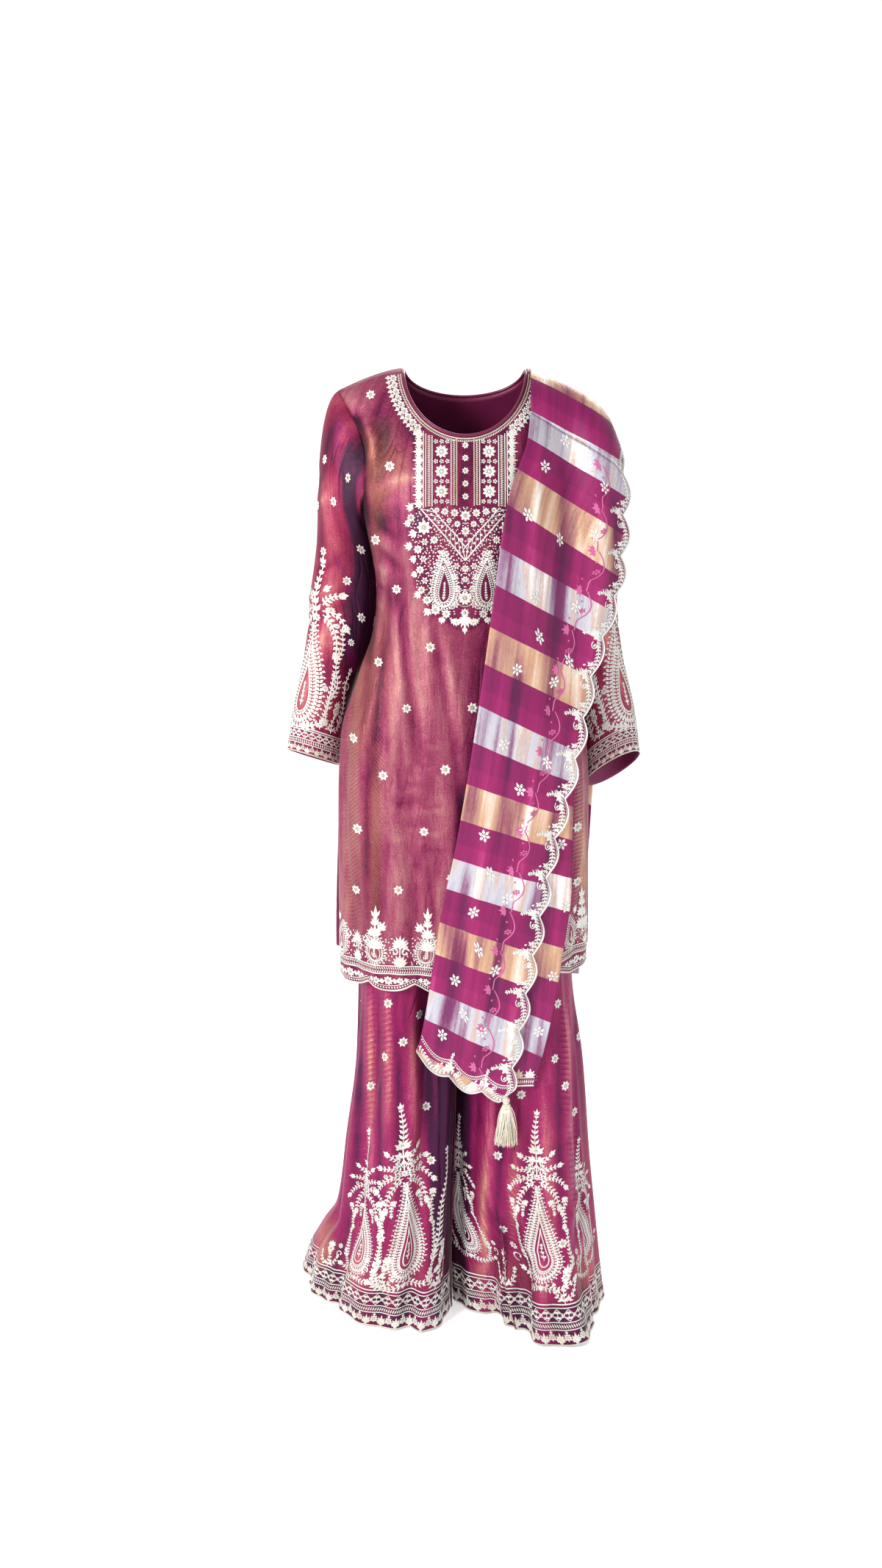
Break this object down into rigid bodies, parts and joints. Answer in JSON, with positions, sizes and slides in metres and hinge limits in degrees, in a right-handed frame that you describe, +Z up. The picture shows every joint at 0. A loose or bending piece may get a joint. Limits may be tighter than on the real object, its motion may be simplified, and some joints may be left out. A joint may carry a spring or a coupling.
{
  "type": "sharara suit",
  "caption": "Magenta shot-silk sharara suit in its worn form: long kameez, wide sharara trousers and a scalloped striped dupatta over the left shoulder.",
  "frame": {"origin": "midway between the two high shoulder points, where the wearer's shoulders hold the suit up", "axes": "+Z up along the wearer's body, -Y to the wearer's front, +X to the wearer's left"},
  "size_m": [0.578, 0.3382, 1.5321],
  "materials": {
    "kameez_silk": "satin",
    "sleeve_silk": "satin",
    "piping_satin": "satin",
    "sharara_silk": "satin",
    "dupatta_organza": "satin",
    "tassel_thread": "matte"
  },
  "bodies": {
    "root": {"kameez_front": "kameez_silk", "kameez_back": "kameez_silk", "neck_piping": "piping_satin", "sleeve_left": "sleeve_silk", "sleeve_right": "sleeve_silk", "sharara_waistband": "sharara_silk", "leg_right_front": "sharara_silk", "leg_left_front": "sharara_silk", "leg_right_back": "sharara_silk", "leg_left_back": "sharara_silk", "dupatta_shoulder": "dupatta_organza", "dupatta_front_fall": "dupatta_organza", "dupatta_under_layer": "dupatta_organza", "dupatta_back_fall": "dupatta_organza", "tassel_knot": "tassel_thread", "tassel_fringe": "tassel_thread"}
  },
  "joints": []
}
